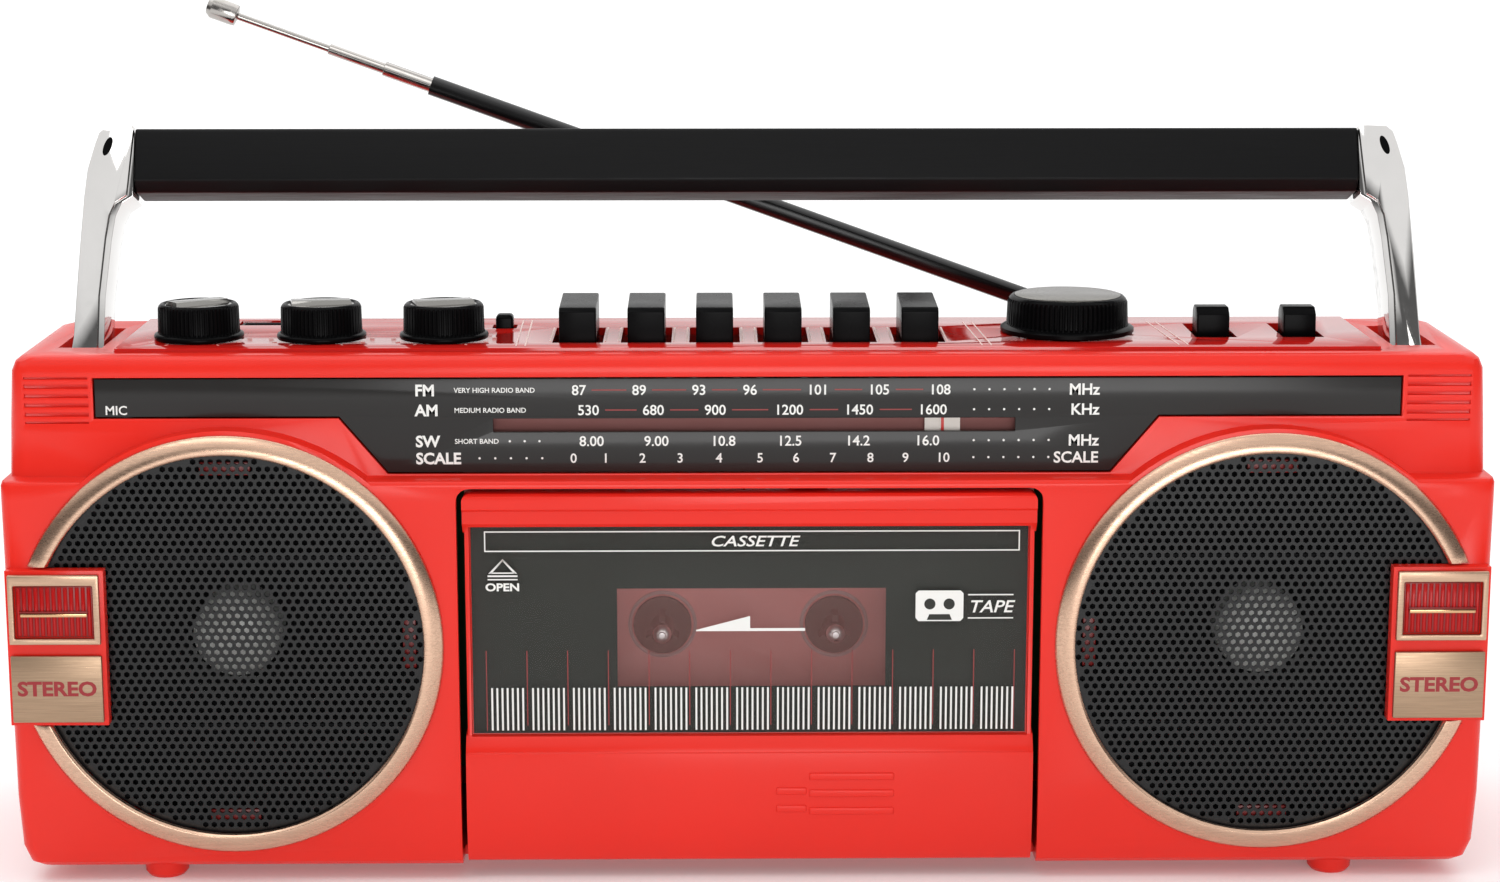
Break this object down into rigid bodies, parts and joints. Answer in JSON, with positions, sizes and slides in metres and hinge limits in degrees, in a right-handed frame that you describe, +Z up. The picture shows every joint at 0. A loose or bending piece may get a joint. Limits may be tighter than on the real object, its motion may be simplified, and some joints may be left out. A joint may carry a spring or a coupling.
{
  "type": "boombox",
  "caption": "Portable radio and cassette recorder with two round speakers, a hinged cassette door, a row of piano keys, a folding carrying handle and a telescopic antenna.",
  "frame": {"origin": "middle of the bounding box, on the surface that the feet stand on", "axes": "+X to the right seen from the front, +Y from the front to the back, +Z up"},
  "size_m": [0.3524, 0.096, 0.2081],
  "materials": {
    "cabinet_red": "glossy red moulded plastic",
    "dial_smoke": "polished dark window with pale printed scales",
    "window_smoke": "polished grey-green smoked window",
    "dial_card": "dark card behind the window",
    "pointer_red": "bright red",
    "control_black": "black, satin sides and shiny tops",
    "trim_bronze": "warm bronze-toned plated metal",
    "grille_black": "black perforated sheet",
    "speaker_cone": "dark cone with a silver dust cap",
    "badge_red": "clear ribbed red",
    "handle_chrome": "bright plated",
    "grip_black": "black with a fine lengthwise brushed grain",
    "inner_black": "plain moulded",
    "inner_steel": "plated sheet and turned metal",
    "inner_rubber": "matt",
    "antenna_chrome": "bright plated",
    "antenna_black": "glossy black",
    "board_green": "lacquered circuit board"
  },
  "bodies": {
    "cabinet": {"front_shell": "cabinet_red", "rear_shell": "cabinet_red", "top_deck": "cabinet_red", "dial_lens": "dial_smoke", "dial_plate": "dial_card", "speaker_ring_left": "trim_bronze", "speaker_grille_left": "grille_black", "speaker_driver_left": "speaker_cone", "badge_frame_left": "trim_bronze", "badge_lens_left": "badge_red", "badge_plate_left": "trim_bronze", "speaker_ring_right": "trim_bronze", "speaker_grille_right": "grille_black", "speaker_driver_right": "speaker_cone", "badge_frame_right": "trim_bronze", "badge_lens_right": "badge_red", "badge_plate_right": "trim_bronze", "deck_chassis": "inner_steel", "drive_belt": "inner_rubber", "tape_motor": "inner_steel", "circuit_board": "board_green", "control_board": "board_green", "tuning_capacitor": "inner_black", "transformer": "inner_steel", "battery_contact": "inner_steel", "ac_inlet": "inner_black", "usb_port": "inner_black", "microphone": "inner_steel"},
    "handle": {"handle_arm_left": "handle_chrome", "handle_arm_right": "handle_chrome", "handle_grip": "grip_black"},
    "cassette_door": {"door_frame": "cabinet_red", "door_window": "window_smoke", "cassette_holder": "inner_black"},
    "battery_cover": {"battery_door": "cabinet_red"},
    "tuning": {"tuning_knob": "control_black"},
    "pointer": {"dial_pointer": "pointer_red"},
    "volume": {"volume_knob": "control_black"},
    "bass": {"bass_knob": "control_black"},
    "treble": {"treble_knob": "control_black"},
    "key_record": {"key_record": "control_black"},
    "key_play": {"key_play": "control_black"},
    "key_rewind": {"key_rewind": "control_black"},
    "key_fast_forward": {"key_fast_forward": "control_black"},
    "key_stop": {"key_stop": "control_black"},
    "key_pause": {"key_pause": "control_black"},
    "band": {"band_lever": "control_black"},
    "function": {"function_lever": "control_black"},
    "power": {"power_button": "control_black"},
    "supply": {"supply_spindle": "inner_black"},
    "takeup": {"takeup_spindle": "inner_black"},
    "capstan": {"capstan_flywheel": "inner_steel"},
    "bridge": {"head_bridge": "inner_steel", "tape_head": "inner_steel"},
    "pinch": {"pinch_roller": "inner_rubber"},
    "antenna_swivel": {"antenna_base": "antenna_chrome"},
    "antenna_mast": {"antenna_tube": "antenna_black"},
    "section_a": {"antenna_section_a": "antenna_chrome"},
    "section_b": {"antenna_section_b": "antenna_chrome"},
    "rod": {"antenna_rod": "antenna_chrome"}
  },
  "joints": [
    {"name": "handle_fold", "type": "hinge", "parent": "cabinet", "child": "handle", "pos_m": [0, -0.0156, 0.114], "axis": [-1, 0, 0], "range_deg": [-18, 16]},
    {"name": "door_open", "type": "hinge", "parent": "cabinet", "child": "cassette_door", "pos_m": [0, -0.0385, 0.0085], "axis": [1, 0, 0], "range_deg": [0, 30]},
    {"name": "battery_cover_open", "type": "hinge", "parent": "cabinet", "child": "battery_cover", "pos_m": [0, 0.0478, 0.0102], "axis": [-1, 0, 0], "range_deg": [0, 60]},
    {"name": "tuning_turn", "type": "hinge", "parent": "cabinet", "child": "tuning", "pos_m": [0.078, -0.0085, 0.13], "axis": [0, 0, -1], "range_deg": [-635, 85]},
    {"name": "pointer_slide", "type": "slide", "parent": "cabinet", "child": "pointer", "axis": [1, 0, 0], "range_m": [-0.1045, 0.0145]},
    {"name": "volume_turn", "type": "hinge", "parent": "cabinet", "child": "volume", "pos_m": [-0.1325, -0.0165, 0.13], "axis": [0, 0, -1], "range_deg": [-150, 150]},
    {"name": "bass_turn", "type": "hinge", "parent": "cabinet", "child": "bass", "pos_m": [-0.103, -0.0165, 0.13], "axis": [0, 0, -1], "range_deg": [-150, 150]},
    {"name": "treble_turn", "type": "hinge", "parent": "cabinet", "child": "treble", "pos_m": [-0.0735, -0.0165, 0.13], "axis": [0, 0, -1], "range_deg": [-150, 150]},
    {"name": "key_record_press", "type": "slide", "parent": "cabinet", "child": "key_record", "axis": [0, 0, -1], "range_m": [0, 0.004], "stiffness_N_per_m": 300, "springref_m": -0.002},
    {"name": "key_play_press", "type": "slide", "parent": "cabinet", "child": "key_play", "axis": [0, 0, -1], "range_m": [0, 0.004], "stiffness_N_per_m": 300, "springref_m": -0.002},
    {"name": "key_rewind_press", "type": "slide", "parent": "cabinet", "child": "key_rewind", "axis": [0, 0, -1], "range_m": [0, 0.004], "stiffness_N_per_m": 300, "springref_m": -0.002},
    {"name": "key_fast_forward_press", "type": "slide", "parent": "cabinet", "child": "key_fast_forward", "axis": [0, 0, -1], "range_m": [0, 0.004], "stiffness_N_per_m": 300, "springref_m": -0.002},
    {"name": "key_stop_press", "type": "slide", "parent": "cabinet", "child": "key_stop", "axis": [0, 0, -1], "range_m": [0, 0.004], "stiffness_N_per_m": 300, "springref_m": -0.002},
    {"name": "key_pause_press", "type": "slide", "parent": "cabinet", "child": "key_pause", "axis": [0, 0, -1], "range_m": [0, 0.004], "stiffness_N_per_m": 300, "springref_m": -0.002},
    {"name": "power_press", "type": "slide", "parent": "cabinet", "child": "power", "axis": [0, 0, -1], "range_m": [0, 0.002], "stiffness_N_per_m": 300, "springref_m": -0.002},
    {"name": "band_slide", "type": "slide", "parent": "cabinet", "child": "band", "axis": [0, 1, 0], "range_m": [-0.0045, 0.0085]},
    {"name": "function_slide", "type": "slide", "parent": "cabinet", "child": "function", "axis": [0, 1, 0], "range_m": [-0.0045, 0.0085]},
    {"name": "supply_turn", "type": "hinge", "parent": "cabinet", "child": "supply", "pos_m": [-0.02125, -0.014, 0.056], "axis": [0, 1, 0], "continuous": true},
    {"name": "takeup_turn", "type": "hinge", "parent": "cabinet", "child": "takeup", "pos_m": [0.02125, -0.014, 0.056], "axis": [0, 1, 0], "continuous": true},
    {"name": "capstan_turn", "type": "hinge", "parent": "cabinet", "child": "capstan", "pos_m": [0.009, -0.005, 0.086], "axis": [0, 1, 0], "continuous": true},
    {"name": "bridge_slide", "type": "slide", "parent": "cabinet", "child": "bridge", "axis": [0, 0, -1], "range_m": [0, 0.004]},
    {"name": "pinch_turn", "type": "hinge", "parent": "bridge", "child": "pinch", "pos_m": [0.0144, -0.018, 0.094], "axis": [0, 1, 0], "continuous": true},
    {"name": "antenna_turn", "type": "hinge", "parent": "cabinet", "child": "antenna_swivel", "pos_m": [0.075, 0.033, 0.124], "axis": [0, 0, -1], "range_deg": [0, 180]},
    {"name": "antenna_tilt", "type": "hinge", "parent": "antenna_swivel", "child": "antenna_mast", "pos_m": [0.075, 0.033, 0.13], "axis": [0, 1, 0], "range_deg": [-19.5, 70]},
    {"name": "section_a_slide", "type": "slide", "parent": "antenna_mast", "child": "section_a", "axis": [-0.9409, 0, 0.3387], "range_m": [-0.012, 0.11]},
    {"name": "section_b_slide", "type": "slide", "parent": "section_a", "child": "section_b", "axis": [-0.9409, 0, 0.3387], "range_m": [-0.014, 0.11]},
    {"name": "rod_slide", "type": "slide", "parent": "section_b", "child": "rod", "axis": [-0.9409, 0, 0.3387], "range_m": [-0.023, 0.11]}
  ],
  "couplings": [
    {"joint": "pointer_slide", "follows": "tuning_turn", "m_per_rad": 0.00939},
    {"joint": "bridge_slide", "follows": "key_play_press", "ratio": 1}
  ]
}
